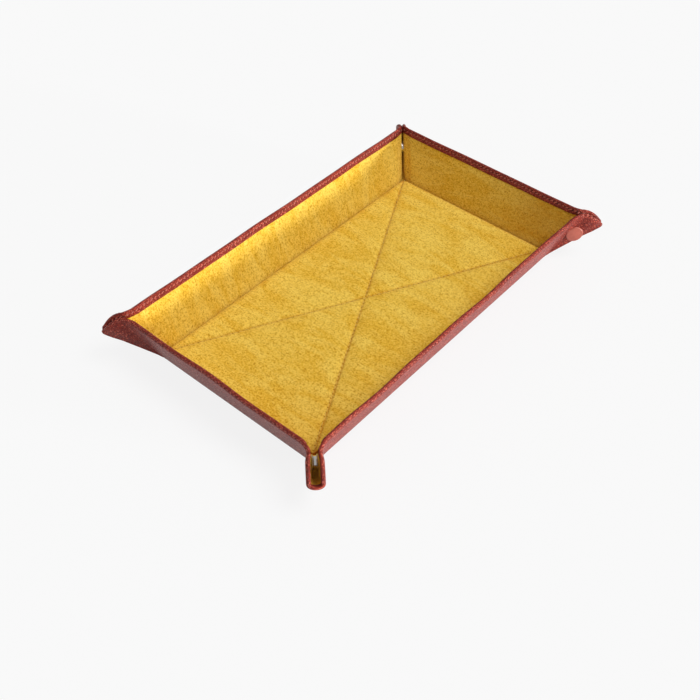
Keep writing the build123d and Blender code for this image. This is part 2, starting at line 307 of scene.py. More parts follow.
def leatherProfile():
    # rows of (depth, share of what the hem leaves, height, share of the face's height)
    line, dent, puff, hem = stitchLine["depth"], stitchLine["dent"], stitchLine["puff"], sheet["hemWidth"]
    beside, turned, under, skin = stitchLine["beside"], hemBack["turn"], hemBack["under"], sheet["leather"]
    rows = [(hem, share, 0, 0) for share in np.linspace(1, 0, 13)[:-1]]
    rows += [(hem, -1, 0, 0), (3.6 * mm, -1, -puff / 2, 0), (2.6 * mm, -1, -puff / 2, 0)]
    for turn in (0, 14, 28, 40, 46, 50, 54, 62, 76, 90):
        angle, off = math.radians(turn), abs(turn - stitchLine["shoulder"])
        sunk = dent * {0: 1, 4: 0.6}.get(off, 0)
        rows.append((rimRound["outerDepth"] * (1 - math.sin(angle)) + sunk * 0.7, -1, sunk * 0.7,
                     rimRound["outerShare"] * (1 - math.cos(angle))))
    for turn in (0, 18, 36, 54, 72, 90):
        angle = math.radians(turn)
        rows.append((rimRound["innerDepth"] * (1 - math.cos(angle)), -1, 0,
                     1 - rimRound["innerShare"] * (1 - math.sin(angle))))
    rows += [(turned, -1, puff * 0.7, 1), (line - beside, -1, -dent * 0.3, 1), (line, -1, -dent, 1),
             (line + beside, -1, -dent * 0.3, 1), (3.2 * mm, -1, puff, 1), (4 * mm, -1, puff, 1),
             (4.6 * mm, -1, 0, 1), (4.9 * mm, -1, -0.14 * mm, 1), (hem, -1, -0.32 * mm, 1),
             (hem, -1, -0.62 * mm, 1), (hemBack["end"], -1, under, 1), (turned, -1, under, 1),
             (turned, -1, skin, 0)]
    rows += [(hem, share, skin, 0) for share in (0, 0.35, 0.7, 1)]
    return rows


def suedeProfile():
    tuck, back = 4.3 * mm, -0.7 * mm
    rows = [(tuck, share, 0, 1) for share in [*np.linspace(0, 0.9, 14), 0.94, 0.97, 0.985, 1]]
    rows += [(tuck, share, back, 1) for share in (1, 0.6, 0.3, 0)]
    return rows


def layers(half, flat, depth):
    # the suede's height above the outer face: the card ends before the crease and the rim
    across = creaseOffset(half, flat[..., 0], flat[..., 1])
    ear = smooth((across + sheet["cardEnd"]) / sheet["cardFade"])
    rim = sheet["rimTaper"] * (1 - smooth(depth / sheet["taperOver"]))
    return (sheet["wallSuede"] - rim) * (1 - ear) + sheet["earSuede"] * ear


paintedCreaseShade = {"share": 0.55, "over": 1.6 * mm, "foot": 0.9, "fold": 0.35}  # painted shade: the suede darkened into a fold and at the wall's foot, where shade falls
# painted shade over the flat sheet: its strength and reach on the right wall, round the front left corner and
# along the front edge
paintedShadeReach = {"right": 0.2, "left": 0.12, "front": 0.05,
           **sized(rightFrom=6, rightOver=12, leftOver=60, frontEnd=2, frontFade=4)}


def profilePoints(half, rays, rows, faceLift):
    depth, share, lift, faceShare = columns(rows)
    flat, depths = alongRays(rays, depth, share)
    height = lift + faceShare * (layers(half, flat, depths) + faceLift)
    grain = flat + beyondRim(share, faceShare, height, depths)[..., None] * rays[2][:, None]
    # painted shade: the suede darkened towards the wall's foot, plus the painted shade over the sheet
    dark = paintedCreaseShade["share"] * np.exp(-(flat[..., 1] - footStart) / paintedCreaseShade["over"]) * (faceShare == 1)
    spread = sheetPlace(half, flat[..., 0], flat[..., 1])
    dark = dark + paintedSheetShade(spread[..., 0], spread[..., 1])
    return np.concatenate([folded(half, flat[..., 0], flat[..., 1], height),
                           sheetPlace(half, grain[..., 0], grain[..., 1], dark)], -1)


def paintedSheetShade(x, y):
    # painted shade over the flat sheet: darker on the right wall towards the front, round the front left
    # corner and along the floor's front edge, where shade falls
    right = paintedShadeReach["right"] * smooth((x - halfLength + paintedShadeReach["rightFrom"]) / paintedShadeReach["rightOver"])
    right = right * smooth((0.2 * halfWidth - y) / (1.1 * halfWidth))
    away = np.square(x + halfLength) + np.square(y + halfWidth)
    front = paintedShadeReach["front"] * smooth((-y - 0.35 * halfWidth) / (0.5 * halfWidth))
    front = front * smooth((halfWidth + paintedShadeReach["frontEnd"] + y) / paintedShadeReach["frontFade"])
    return right + paintedShadeReach["left"] * np.exp(-away / paintedShadeReach["leftOver"] ** 2) + front


def footPoints(half, rays, section):
    # a cross-section given as outward and height, in the plane of the floor
    out, z = np.array(section).T
    z = z - hingeHeight
    v = out * math.cos(foldAngle) + z * math.sin(foldAngle)
    h = z * math.cos(foldAngle) - out * math.sin(foldAngle) + hingeHeight
    u = np.repeat(rays[0][:, :1], len(section), 1)
    v, h = (np.repeat(a[None], len(u), 0) for a in (v, h))
    # the foot's suede carries painted crease shade as the sheet's third number
    return np.concatenate([folded(half, u, v, h, bends=False), sheetPlace(half, u, v, paintedCreaseShade["foot"])], -1)


def footArc(centre, radius, steps):
    # from the wall's slope down towards the level of the floor
    angles = [foldAngle * (1 - step / 6) for step in range(steps)]
    return [(centre[0] + radius * math.sin(a), centre[1] - radius * math.cos(a)) for a in angles]


def leatherFoot():
    # the inside of the fold, from the wall to the floor, then the outside back again
    radius, skin, start = sheet["footRound"], sheet["leather"], -2.6 * mm
    centre = (-footStart, radius)
    outer = footArc(centre, radius, 6) + [(x, 0) for x in (-footStart, start / 2, start)]
    inner = footArc(centre, radius - skin, 6) + [(x, skin) for x in (-footStart, start / 2, start)]
    return inner + outer[::-1]


def suedeFoot():
    # the wall's suede face meets the height of the floor's edge at the corner
    radius, lift, skin, fall = 0.8 * mm, 2.4 * mm, 0.6 * mm, 0.1 * mm
    rest = sheet["wallSuede"] - hingeHeight
    v = (lift - hingeHeight - rest * math.cos(foldAngle)) / math.sin(foldAngle)
    corner = v * math.cos(foldAngle) - rest * math.sin(foldAngle)
    centre = (corner - radius * math.tan(foldAngle / 2), lift + radius)
    near, far = corner - 2 * mm, corner - 3 * mm
    face = footArc(centre, radius, 7) + [(near, lift), (far, lift - fall)]
    back = footArc(centre, radius + skin, 7) + [(near, lift - skin), (far, lift - skin - fall)]
    return face + back[::-1]


# Meshes from rows of points

def lattice(points, flip):
    # faces between neighbouring rays; the rows close into a ring
    rays, rows = points.shape[:2]
    faces = []
    for i in range(rays - 1):
        for j in range(rows):
            k = (j + 1) % rows
            loop = [i * rows + j, i * rows + k, (i + 1) * rows + k, (i + 1) * rows + j]
            faces.append(loop[::-1] if flip else loop)
    return points.reshape(rays * rows, -1), faces


def linked(name, data):
    thing = bpy.data.objects.new(name, data)
    bpy.context.scene.collection.objects.link(thing)
    return thing


def meshPiece(name, parts, material, closed=True, sharpAt=40):
    verts, faces, shift = [], [], 0
    for points, loops in parts:
        verts.append(points)
        faces += [[index + shift for index in loop] for loop in loops]
        shift += len(points)
    verts = np.concatenate(verts)
    data = bpy.data.meshes.new(name)
    data.from_pydata(verts[:, :3].tolist(), [], faces)
    if verts.shape[1] > 3:
        data.attributes.new("sheet", "FLOAT_VECTOR", "POINT").data.foreach_set("vector", verts[:, 3:].ravel())
    body = bmesh.new()
    body.from_mesh(data)
    bmesh.ops.remove_doubles(body, verts=body.verts, dist=0.004 * mm)
    loose = [vert for vert in body.verts if not vert.link_faces]
    bmesh.ops.delete(body, geom=loose, context="VERTS")
    if closed:
        bmesh.ops.holes_fill(body, edges=[edge for edge in body.edges if edge.is_boundary], sides=0)
        bmesh.ops.triangulate(body, faces=[face for face in body.faces if len(face.verts) > 4])
    bmesh.ops.recalc_face_normals(body, faces=body.faces)
    body.to_mesh(data)
    body.free()
    data.shade_smooth()
    data.set_sharp_from_angle(angle=math.radians(sharpAt))
    data.materials.append(material)
    return linked(name, data)


# Nodes, and shader maths as plain sums

def feed(tree, socket, value):
    # a link from another node, or a plain value
    value = getattr(value, "socket", value)
    if isinstance(value, bpy.types.NodeSocket):
        tree.links.new(value, socket)
    else:
        socket.default_value = value


def addNode(tree, kind, settings=None, sockets=None):
    made = tree.nodes.new(kind)
    for name, value in (settings or {}).items():
        setattr(made, name, value)
    for name, value in (sockets or {}).items():
        feed(tree, made.inputs[name], value)
    return made


class Value:
    def __init__(self, finish, socket):
        self.finish = finish
        self.socket = socket

    def sum(self, operation, first, second):
        return self.finish.node("ShaderNodeMath", {"operation": operation}, {0: first, 1: second})

    def __add__(self, other):
        return self.sum("ADD", self, other)

    def __sub__(self, other):
        return self.sum("SUBTRACT", self, other)

    def __rsub__(self, other):
        return self.sum("SUBTRACT", other, self)

    def __mul__(self, other):
        return self.sum("MULTIPLY", self, other)

    __radd__ = __add__
    __rmul__ = __mul__


class Finish:
    def __init__(self, name, **constants):
        self.material = bpy.data.materials.new(name)
        self.material.use_nodes = True
        self.tree = self.material.node_tree
        self.shader = self.tree.nodes["Principled BSDF"]
        self.wear(**constants)
        self.place = self.node("ShaderNodeTexCoord", out="Object")
        self.sheet = self.node("ShaderNodeAttribute", {"attribute_name": "sheet"}, out="Vector")

    def node(self, kind, settings=None, sockets=None, out=0):
        return Value(self, addNode(self.tree, kind, settings, sockets).outputs[out])

    def noise(self, scale, detail=2, roughness=0.5, distortion=0, place=None):
        return self.node("ShaderNodeTexNoise", None, {
            "Vector": place or self.place, "Scale": scale, "Detail": detail,
            "Roughness": roughness, "Distortion": distortion})

    def ramp(self, value, low, high):
        # 0 below low, 1 above high
        return self.node("ShaderNodeMapRange", {"interpolation_type": "SMOOTHSTEP"}, {
            "Value": value, "From Min": low, "From Max": high})

    def mix(self, share, first, second):
        first, second = ((*c, 1) if isinstance(c, tuple) else c for c in (first, second))
        return self.node("ShaderNodeMix", {"data_type": "RGBA"}, {0: share, 6: first, 7: second}, out=2)

    def bump(self, height, distance, strength, **under):
        return self.node("ShaderNodeBump", None, {
            "Height": height, "Distance": distance, "Strength": strength, **under})

    def wear(self, **sockets):
        for name, value in sockets.items():
            feed(self.tree, self.shader.inputs[name.replace("_", " ")], value)
        return self.material


# high is the colour of the painted highlight on the pebbles' tops
leatherLook = {
    "grainAlong": 1.8 * mm, "grainAcross": 0.9 * mm, "grainTurn": -45, "pore": 0.4 * mm,
    "deep": (0.09, 0.005, 0.003), "body": (0.4, 0.038, 0.018), "high": (0.72, 0.15, 0.09),
}


def leatherFinish():
    # cross grain: pebbles drawn out along one diagonal of the sheet
    look = leatherLook
    finish = Finish("terracotta_leather", Roughness=0.45, Specular_IOR_Level=0.25)
    warp = finish.noise(330, 3, 0.6, place=finish.sheet)
    grain = finish.node("ShaderNodeMapping", {"vector_type": "TEXTURE"}, {
        "Vector": finish.sheet, "Rotation": (0, 0, math.radians(look["grainTurn"])),
        "Scale": (look["grainAlong"], look["grainAcross"], 1)})
    bent = finish.node("ShaderNodeVectorMath", {"operation": "MULTIPLY_ADD"}, {
        0: warp, 1: (1.3, 1.3, 0), 2: grain})
    spot, flat = {"Vector": bent, "Scale": 1.0}, {"voronoi_dimensions": "2D"}
    cells = finish.node("ShaderNodeTexVoronoi", {**flat, "feature": "DISTANCE_TO_EDGE"}, spot)
    tones = finish.node("ShaderNodeTexVoronoi", {**flat, "feature": "F1"}, spot, out=1)
    pores = finish.noise(1 / look["pore"], 2, 0.6, place=finish.sheet)
    broad = finish.noise(60, 3, 0.55, place=finish.sheet)
    domes = finish.ramp(cells, -0.04, 0.36)
    paintedHighlightTops = finish.ramp(cells, 0.12, 0.42)
    flecks = finish.noise(520, 2, 0.6, place=finish.sheet)
    tint = finish.mix(domes * 0.8 + pores * 0.2, look["deep"], look["body"])
    # painted highlight: the high colour speckled over the pebbles' tops
    tint = finish.mix(finish.ramp(tones * 0.35 + flecks * 0.65, 0.46, 0.6) * paintedHighlightTops * 0.95, tint, look["high"])
    tint = finish.mix(finish.ramp(flecks, 0.48, 0.34) * 0.6, tint, look["deep"])
    tint = finish.mix(finish.ramp(broad, 0.42, 0.7) * 0.25, tint, look["deep"])
    rough = 0.48 - domes * 0.14 + pores * 0.08
    normal = finish.bump(domes * 0.75 + pores * 0.25, 0.42 * mm, 0.9)
    return finish.wear(Base_Color=tint, Roughness=rough, Normal=normal)


suedeLook = {
    "deep": (0.46, 0.2, 0.003), "body": (0.76, 0.42, 0.02), "light": (0.93, 0.67, 0.12),
    "shade": (0.34, 0.07, 0.0), "tuft": 1.15 * mm, "fibre": 0.42 * mm, "nap": 3.2,
}


def suedeFinish():
    look = suedeLook
    finish = Finish("mustard_suede", Roughness=0.92, Specular_IOR_Level=0.12, Sheen_Weight=0.2,
                    Sheen_Roughness=0.5, Sheen_Tint=(1.0, 0.8, 0.3, 1))
    dark = finish.node("ShaderNodeSeparateXYZ", None, {0: finish.sheet}, out=2)
    drawn = finish.node("ShaderNodeMapping", None, {
        "Vector": finish.sheet, "Scale": (1, 1 / look["nap"], 0.0001)})
    nap = finish.noise(70, 4, 0.65, 0.8, drawn)
    tufts = finish.noise(1 / look["tuft"], 5, 0.7, 0.6)
    streaks = finish.noise(1.3 / look["tuft"], 2, 0.6, 0.5, drawn)
    fibre = finish.noise(1 / look["fibre"], 2, 0.6)
    grain = tufts * 0.5 + streaks * 0.25 + fibre * 0.25
    tint = finish.mix(finish.ramp(nap, 0.36, 0.64) * 0.6 + 0.2, look["body"], look["light"])
    tint = finish.mix(finish.ramp(grain, 0.48, 0.59) * 0.8, tint, look["deep"])
    tint = finish.mix(finish.ramp(grain, 0.5, 0.41) * 0.6, tint, look["light"])
    # painted shade: the sheet's third number darkens the suede towards the shade colour
    tint = finish.mix(dark, tint, look["shade"])
    normal = finish.bump(grain, 0.6 * mm, 0.9, Normal=finish.bump(nap, 0.25 * mm, 0.4))
    return finish.wear(Base_Color=tint, Roughness=1.0 - nap * 0.16, Normal=normal)


def plainFinish(name, low, high, scale, rough, relief=0.05 * mm, **constants):
    finish = Finish(name, **constants)
    grain = finish.noise(scale, 3, 0.6)
    fine = finish.noise(scale * 6, 2, 0.6)
    tint = finish.mix(finish.ramp(grain * 0.7 + fine * 0.3, 0.3, 0.7), low, high)
    return finish.wear(Base_Color=tint, Roughness=fine * 0.12 + rough, Normal=finish.bump(fine, relief, 0.6))


def threadFinish(name, low, high):
    finish = Finish(name, Sheen_Weight=0.3)
    twist = finish.node("ShaderNodeTexWave", {"wave_type": "BANDS", "bands_direction": "DIAGONAL"}, {
        "Vector": finish.place, "Scale": 900, "Distortion": 0.6})
    tint = finish.mix(finish.ramp(twist, 0.1, 0.9), low, high)
    normal = finish.bump(twist, 0.08 * mm, 0.7)
    return finish.wear(Base_Color=tint, Roughness=0.7 - twist * 0.15, Normal=normal)


print("finishes")
leather = leatherFinish()
suede = suedeFinish()
redThread = threadFinish("red_thread", (0.3, 0.05, 0.03), (0.62, 0.17, 0.11))
yellowThread = threadFinish("yellow_thread", (0.5, 0.27, 0.01), (0.83, 0.56, 0.06))
# painted shade: dark beads stand for the shade inside the needle holes of the hem and the quilting
needleHoleShade = plainFinish("needle_hole_shade", (0.035, 0.004, 0.003), (0.07, 0.008, 0.006), 900, 0.85)
quiltHoleShade = plainFinish("quilting_hole_shade", (0.3, 0.12, 0.004), (0.44, 0.2, 0.008), 900, 0.9)
nickel = plainFinish("bright_nickel", (0.74, 0.73, 0.7), (0.84, 0.83, 0.8), 300, 0.12, 0.01 * mm,
                     Metallic=1.0)
enamel = plainFinish("leather_coloured_enamel", (0.34, 0.068, 0.04), (0.43, 0.1, 0.062), 240, 0.34, 0.03 * mm,
                     Coat_Weight=0.12)
greyCard = plainFinish("grey_card", (0.3, 0.27, 0.22), (0.42, 0.38, 0.32), 350, 0.9)
wadding = plainFinish("wadding", (0.62, 0.6, 0.55), (0.78, 0.76, 0.71), 400, 0.95)


# Leather and suede of the walls, ears and folds

creaseRays = 11  # rays of a long wall that go into the long ear's piece, all but their foot
creaseBlend = 4.5 * mm
skins = {  # behind counts the rows that come after the foot
    "leather": {"rows": leatherProfile(), "behind": 0, "foot": leatherFoot(), "lift": sheet["hemProud"],
                "material": leather, "node": "_cover"},
    "suede": {"rows": suedeProfile(), "behind": 4, "foot": suedeFoot(), "lift": 0,
              "material": suede, "node": "_lining"},
}


def skinRings(kind, half):
    # a wall's cross-section along each ray, and that of its foot alone
    skin, rays = skins[kind], wallRays(half)
    body = profilePoints(half, rays, skin["rows"], skin["lift"])
    foot = footPoints(half, rays, skin["foot"])
    front = body.shape[1] - skin["behind"]
    whole = np.concatenate([body[:, :front], foot, body[:, front:]], 1)
    return whole, np.concatenate([body[:, [front - 1]], foot, body[:, [front % body.shape[1]]]], 1)


def wallPieces(kind):
    skin = skins[kind]
    for wall in walls:
        parts = []
        for half, isLong in halvesOf(wall):
            whole, foot = skinRings(kind, half)
            if isLong:
                parts.append(lattice(foot[:creaseRays + 1], half["end"] > 0))
                whole = whole[creaseRays:]
            parts.append(lattice(whole, half["end"] > 0))
        piece = meshPiece("wall_" + wall + "_" + kind, parts, skin["material"])
        own = wallFrame(wall)
        middle = (math.pi - foldAngle) / 2
        across = (own["outward"] * math.sin(middle) + np.array((0, 0, math.cos(middle)))) * mm
        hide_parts("wall_" + wall + skin["node"])
        own["pivot"] - across
        own["pivot"] + across
        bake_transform(piece)


def earPieces(kind):
    skin = skins[kind]
    for corner in corners:
        for isLong, word in ears:
            half = earHalf(corner, isLong)
            ring = profilePoints(half, earRays(half), skin["rows"], skin["lift"])
            parts = [lattice(ring, half["end"] < 0)]
            if isLong:
                body = profilePoints(half, wallRays(half), skin["rows"], skin["lift"])
                parts.append(lattice(body[:creaseRays + 1], half["end"] > 0))
            piece = meshPiece(corner + word + "_" + kind, parts, skin["material"])
            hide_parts(corner + word + skin["node"])
            if isLong:
                across = unit(half["across"] + half["earAcross"]) * creaseBlend
                "wall_" + half["wall"]
                half["creaseFoot"] - across
                half["creaseFoot"] + across
                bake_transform(piece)
            else:
                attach(piece, corner + "_short_ear")


def foldPieces(kind, count=17):
    skin = skins[kind]
    depth, share, lift, faceShare = columns(skin["rows"])
    height = lift + faceShare * (sheet["earSuede"] + skin["lift"])
    outerRing = sheet["earGap"] / 2 + sheet["earSuede"]
    angle = np.linspace(math.pi / 2, -math.pi / 2, count)[:, None]
    for corner in corners:
        half = earHalf(corner, True)
        start = earRays(half)[0][-1].sum() / root2
        fromFold = half["centre"] * np.sin(angle)
        tip = tipAt(half, np.abs(fromFold))
        along = tip - depthAt(depth, share, tip - start)
        grain = along + beyondRim(share, faceShare, height, tip - along)
        # the fold's suede carries painted shade in the ear's gutter as the sheet's third number
        ring = np.concatenate([
            roundFold(half, along, angle, outerRing - height),
            sheetPlace(half, (grain - fromFold) / root2, (grain + fromFold) / root2, paintedCreaseShade["fold"])], -1)
        piece = meshPiece(corner + "_fold_" + kind, [lattice(ring, half["end"] < 0)], skin["material"])
        if kind == "leather":
            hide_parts(corner + "_fold_strip")
        side = half["out"] * half["dress"][kind + "Reach"]
        half["foot"] + side
        half["foot"] - side
        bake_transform(piece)


card = sized(fromCrease=8.5, fromRim=6, outer=1.25, belowSuede=0.8, floorInset=3.2, floorTop=2.0)


def wallCards(count=14):
    # stiff card between leather and suede, ending before the rim and the bends
    shares = np.linspace(0.97, 0, 8)
    rows = [(card["fromRim"], share, card["outer"], 0) for share in shares]
    rows += [(card["fromRim"], share, -card["belowSuede"], 1) for share in shares[::-1]]
    for wall in walls:
        parts = []
        for half, _ in halvesOf(wall):
            rim, outward = wallRays(half, count)[1:]
            base = rim.copy()
            for points, v in ((base, footStart), (rim, sheet["rise"])):
                first = (v * math.sin(half["lean"]) - card["fromCrease"]) / math.cos(half["lean"])
                points[:, 0] = np.linspace(first - half["setback"], -half["own"]["half"], count)
                points[:, 1] = v
            parts.append(lattice(profilePoints(half, (base, rim, outward), rows, 0), half["end"] > 0))
        piece = meshPiece("wall_" + wall + "_card", parts, greyCard)
        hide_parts("wall_" + wall + "_board")
        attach(piece, "wall_" + wall)


wallCards()
for kind in skins:
    wallPieces(kind)
    earPieces(kind)
    foldPieces(kind)
    print(kind, "folded")


# Floor: the leather under it, and the quilted suede

floor = {"pucker": 0.16, **sized(
    strip=2.6, edge=0.3, cut=0.8, lining=4.5, crown=1.5, rest=2.2, seam=3.6, border=5, inset=2.0,
    turnDown=0.8, dip=0.55, dipWidth=0.8, puckerStep=1.9, puckerOver=3, soft=0.1, darkEdge=0.7,
    darkSeam=0.9)}
padLength, padWidth = halfLength - floor["inset"], halfWidth - floor["inset"]


def plate(name, node, material, low, high, quarter):
    # a quarter of an outline, mirrored to the other three and given a thickness
    outline = quarter + [(x, -y) for x, y in quarter[::-1]]
    outline += [(-x, -y) for x, y in quarter] + [(-x, y) for x, y in quarter[::-1]]
    count = len(outline)
    points = np.array([(x, y, z, x, y, 0) for z in (low, high) for x, y in outline])
    faces = [list(range(count)), list(range(count, 2 * count))[::-1]]
    faces += [[k, (k + 1) % count, count + (k + 1) % count, count + k] for k in range(count)]
    piece = meshPiece(name, [(points, faces)], material)
    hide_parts(node)
    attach(piece, "base")


def floorLeather():
    cut, tab = floor["cut"], earHalf("front_left", True)["setback"] - 0.2 * mm
    length, width = halfLength - floor["edge"], halfWidth - floor["edge"]
    quarter = [(halfLength - tab, halfWidth - floor["strip"]), (halfLength - tab, width),
               (length - cut, width), (length, width - cut), (length, halfWidth - tab),
               (halfLength - floor["strip"], halfWidth - tab)]
    plate("floor_leather", "base_cover", leather, 0, sheet["leather"], quarter)


def floorCard():
    inset = card["floorInset"]
    length, width = halfLength - inset, halfWidth - inset
    plate("floor_card", "base_board", greyCard, card["outer"], card["floorTop"],
          [(length - inset, width), (length, width - inset)])


def seamAndEdge(x, y):
    # how far a spot is from the nearer of the crossed seams, and from the pad's edge
    x, y = np.abs(x), np.abs(y)
    toSeam = np.abs(x * padWidth - y * padLength) / math.hypot(padLength, padWidth)
    return toSeam, np.minimum(padLength - x, padWidth - y)


def quiltHeight(x, y):
    # pillows between the crossed seams, drawn down at the seams and at the border
    toSeam, toEdge = seamAndEdge(x, y)
    ripple = floor["pucker"] * np.sin(np.hypot(x, y) / floor["puckerStep"])
    pucker = 1 + ripple * np.exp(-toSeam / floor["puckerOver"])
    rise = 1 - np.exp(-(toSeam * pucker / floor["seam"]) ** 1.25)
    soft = floor["soft"] * (np.sin(x * 93 + 1.7 * np.sin(y * 71)) + np.sin(y * 118 + 2.1 * np.sin(x * 57)))
    crown = (floor["crown"] + soft) * rise * smooth(toEdge / floor["border"]) ** 0.7
    edge = np.sqrt(np.clip(1 - (1 - np.clip(toEdge / floor["turnDown"], 0, 1)) ** 2, 0, 1))
    dip = floor["dip"] * np.exp(-(toSeam / floor["dipWidth"]) ** 2)
    return floor["rest"] + (floor["lining"] - floor["rest"] + crown - dip) * edge


def floorSuede():
    def spaced(count):
        even = np.linspace(-1, 1, count)
        return np.sin(even * math.pi / 2) * 0.35 + even * 0.65

    side = [(x, -1) for x in spaced(150)[:-1]] + [(1, y) for y in spaced(90)[:-1]]
    around = np.array(side + [(-x, -y) for x, y in side])
    rings = 1 - (1 - np.linspace(0, 1, 74)[1:-1]) ** 1.15
    border = 1 - floor["turnDown"] / padWidth * np.array([1, 0.6, 0.3, 0.1, 0])
    flat = np.sort(np.concatenate([rings, border]))[:, None, None] * around
    x, y = flat[..., 0] * padLength, flat[..., 1] * padWidth
    top = np.stack([x, y, quiltHeight(x, y)], -1)
    under = top[-1:].copy()
    under[..., 2] = card["floorTop"] + 0.05 * mm
    closing = under.copy()
    closing[..., :2] *= 0.02
    rows = np.concatenate([top, under, closing])
    count = len(around)
    points = np.concatenate([rows.reshape(-1, 3), [[0, 0, quiltHeight(0.0, 0.0)]]])
    toSeam, toEdge = seamAndEdge(points[:, 0], points[:, 1])
    # painted shade in the groove round the pad's edge and along its seams, plus the painted shade over the
    # sheet
    dark = np.exp(-toEdge / floor["darkEdge"]) + 0.3 * np.exp(-(toSeam / floor["darkSeam"]) ** 2)
    dark = dark + paintedSheetShade(points[:, 0], points[:, 1])
    points = np.concatenate([points, points[:, :2], dark[:, None]], 1)
    faces = []
    for i in range(len(rows) - 1):
        for j in range(count):
            k = (j + 1) % count
            faces.append([i * count + j, (i + 1) * count + j, (i + 1) * count + k, i * count + k])
    middle = len(points) - 1
    faces += [[middle, j, (j + 1) % count] for j in range(count)]
    piece = meshPiece("floor_suede", [(points, faces)], suede)
    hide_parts("base_lining", "base_padding")
    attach(piece, "base")


floorLeather()
floorCard()
floorSuede()
print("floor quilted")


# Stitches, and dark beads as the painted shade of needle holes, set along paths by Geometry Nodes

def beadTree(name):
    tree = bpy.data.node_groups.new(name, "GeometryNodeTree")
    face = tree.interface
    face.new_socket("Geometry", in_out="INPUT", socket_type="NodeSocketGeometry")
    kinds = dict.fromkeys(("Pitch", "Start", "Length", "Width", "Depth", "Slant"), "Float")
    sizes = {}
    for label, kind in {**kinds, "Facing": "Vector", "Material": "Material"}.items():
        sizes[label] = face.new_socket(label, in_out="INPUT", socket_type="NodeSocket" + kind).identifier
    face.new_socket("Geometry", in_out="OUTPUT", socket_type="NodeSocketGeometry")

    def add(kind, settings=None, sockets=None):
        return addNode(tree, kind, settings, sockets).outputs

    given = add("NodeGroupInput")
    trimmed = add("GeometryNodeTrimCurve", {"mode": "LENGTH"}, {
        "Curve": given["Geometry"], 4: given["Start"], 5: 10.0})
    spaced = add("GeometryNodeResampleCurve", {"mode": "LENGTH"}, {
        "Curve": trimmed[0], "Length": given["Pitch"]})
    tangent = add("GeometryNodeInputTangent")
    upright = add("FunctionNodeAlignRotationToVector", {"axis": "Z"}, {"Vector": given["Facing"]})
    lengthwise = add("FunctionNodeAlignRotationToVector", {"axis": "X", "pivot_axis": "Z"}, {
        "Rotation": upright[0], "Vector": tangent[0]})
    slant = add("FunctionNodeAxisAngleToRotation", None, {"Angle": given["Slant"]})
    turned = add("FunctionNodeRotateRotation", {"rotation_space": "LOCAL"}, {0: lengthwise[0], 1: slant[0]})
    bead = add("GeometryNodeMeshUVSphere", None, {"Segments": 10, "Rings": 6, "Radius": 0.5})
    size = add("ShaderNodeCombineXYZ", None, {0: given["Length"], 1: given["Width"], 2: given["Depth"]})
    placed = add("GeometryNodeInstanceOnPoints", None, {
        "Points": spaced[0], "Instance": bead[0], "Rotation": turned[0], "Scale": size[0]})
    real = add("GeometryNodeRealizeInstances", None, {0: placed[0]})
    smoothed = add("GeometryNodeSetShadeSmooth", None, {0: real[0]})
    coated = add("GeometryNodeSetMaterial", None, {"Geometry": smoothed[0], "Material": given["Material"]})
    add("NodeGroupOutput", None, {0: coated[0]})
    return tree, sizes


beads, beadSockets = beadTree("beads along a path")


def beaded(name, body, slot, material, paths, **sizes):
    # paths of points, dressed with beads and turned into one plain mesh
    curve = bpy.data.curves.new(name + "_path", "CURVE")
    curve.dimensions = "3D"
    for points in paths:
        spline = curve.splines.new("POLY")
        spline.points.add(len(points) - 1)
        for spot, point in zip(spline.points, points):
            spot.co = (*point, 1)
    carrier = linked(name + "_carrier", curve)
    dressed = carrier.modifiers.new("beads", "NODES")
    dressed.node_group = beads
    for label, value in {"Start": 0.0, "Slant": 0.0, **sizes, "Material": material}.items():
        dressed[beadSockets[label]] = value
    bpy.context.view_layer.update()
    shown = carrier.evaluated_get(bpy.context.evaluated_depsgraph_get())
    data = bpy.data.meshes.new_from_object(shown)
    data.name = name
    bpy.data.objects.remove(carrier)
    piece = linked(name, data)
    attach(piece, body)


hemThread = sized(Pitch=3.05, Start=1.525, Length=2.4, Width=0.75)
hemHole = sized(Pitch=3.05, Length=1.0, Width=1.0, Depth=0.5)
shoulder = math.radians(stitchLine["shoulder"])
hemSides = {  # the line on the hem's face, and the one on the rim's outer shoulder
    "_inner": {"depth": stitchLine["depth"], "share": 1, "lift": -0.08 * mm, "up": 0, "out": -1,
               "thread": {"Slant": math.radians(24), **hemThread, **sized(Depth=0.6)}},
    "_outer": {"depth": rimRound["outerDepth"] * (1 - math.sin(shoulder)) + 0.12 * mm,
               "share": rimRound["outerShare"] * (1 - math.cos(shoulder)), "lift": 0.22 * mm,
               "up": math.sin(shoulder), "out": math.cos(shoulder),
               "thread": {**hemThread, **sized(Depth=0.34)}},
}


def hemPath(half, isWall, side):
    rays = wallRays(half, 90) if isWall else earRays(half, 60)
    flat, depths = alongRays(rays, np.array([[side["depth"]]]), np.array([[-1.0]]))
    height = side["lift"] + side["share"] * (layers(half, flat, depths) + sheet["hemProud"])
    path = folded(half, flat[..., 0], flat[..., 1], height)[:, 0]
    return path if isWall else path[:-3]


def hemStitches():
    for word, side in hemSides.items():
        rows = []
        for wall in walls:
            own = wallFrame(wall)
            ends = [hemPath(half, True, side) for half, _ in halvesOf(wall)]
            rows.append(("wall_" + wall, np.concatenate([ends[0], ends[1][::-1][1:]]),
                         own["up"] * side["up"] - own["inside"] * side["out"]))
        for corner in corners:
            for isLong, ear in ears:
                half = earHalf(corner, isLong)
                rimward = unit(half["fold"] + half["line"])
                rows.append((corner + ear, hemPath(half, False, side),
                             half["out"] * side["out"] + rimward * side["up"]))
        for body, path, facing in rows:
            for end, material, sizes in (("_stitches", redThread, side["thread"]),
                                         ("_needle_holes", needleHoleShade, hemHole)):
                beaded(body + word + end, body, "leather", material, [path], Facing=tuple(facing), **sizes)


